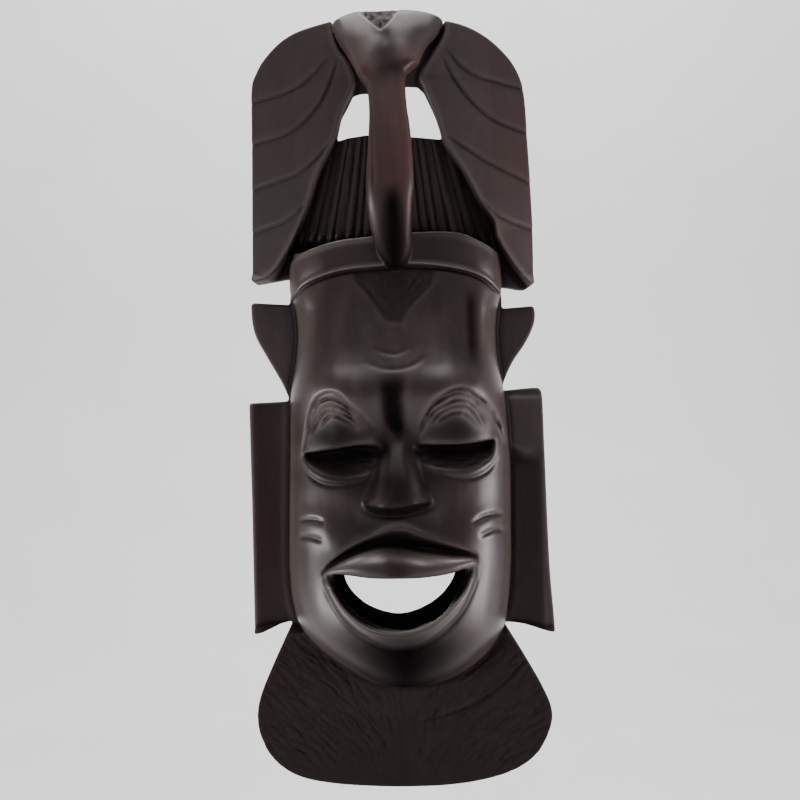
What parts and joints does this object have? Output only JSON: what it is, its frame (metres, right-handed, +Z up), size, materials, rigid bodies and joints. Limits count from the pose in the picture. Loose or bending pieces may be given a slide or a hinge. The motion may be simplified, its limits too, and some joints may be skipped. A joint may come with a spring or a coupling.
{
  "type": "carved wooden mask",
  "caption": "Tall carved hardwood wall mask with a beaked crest, folded wings, a laughing face and a spade beard, hollow at the back, with a swinging ring hanger.",
  "frame": {"origin": "on the flat back, in the middle of the width, 305 mm above the lowest edge of the beard", "axes": "+X to the right as seen from the front, +Y out of the flat back towards the wall, +Z up as the mask hangs; the carving faces -Y"},
  "size_m": [0.1579, 0.066, 0.4],
  "materials": {
    "carved_wood": "dark hardwood, waxed and polished on the face, crest and lips, matte in the engraved parts",
    "hanger_brass": "brass-plated steel, satin",
    "screw_steel": "zinc-plated, satin"
  },
  "bodies": {
    "mask": {"mask_body": "carved_wood", "hanger_strap": "hanger_brass", "hanger_screw_upper": "screw_steel", "hanger_screw_lower": "screw_steel"},
    "ring": {"hanger_ring": "hanger_brass"}
  },
  "joints": [
    {"name": "ring_swing", "type": "hinge", "parent": "mask", "child": "ring", "pos_m": [0, -0.00905, -0.0565], "axis": [-1, 0, 0], "range_deg": [0, 178]}
  ]
}
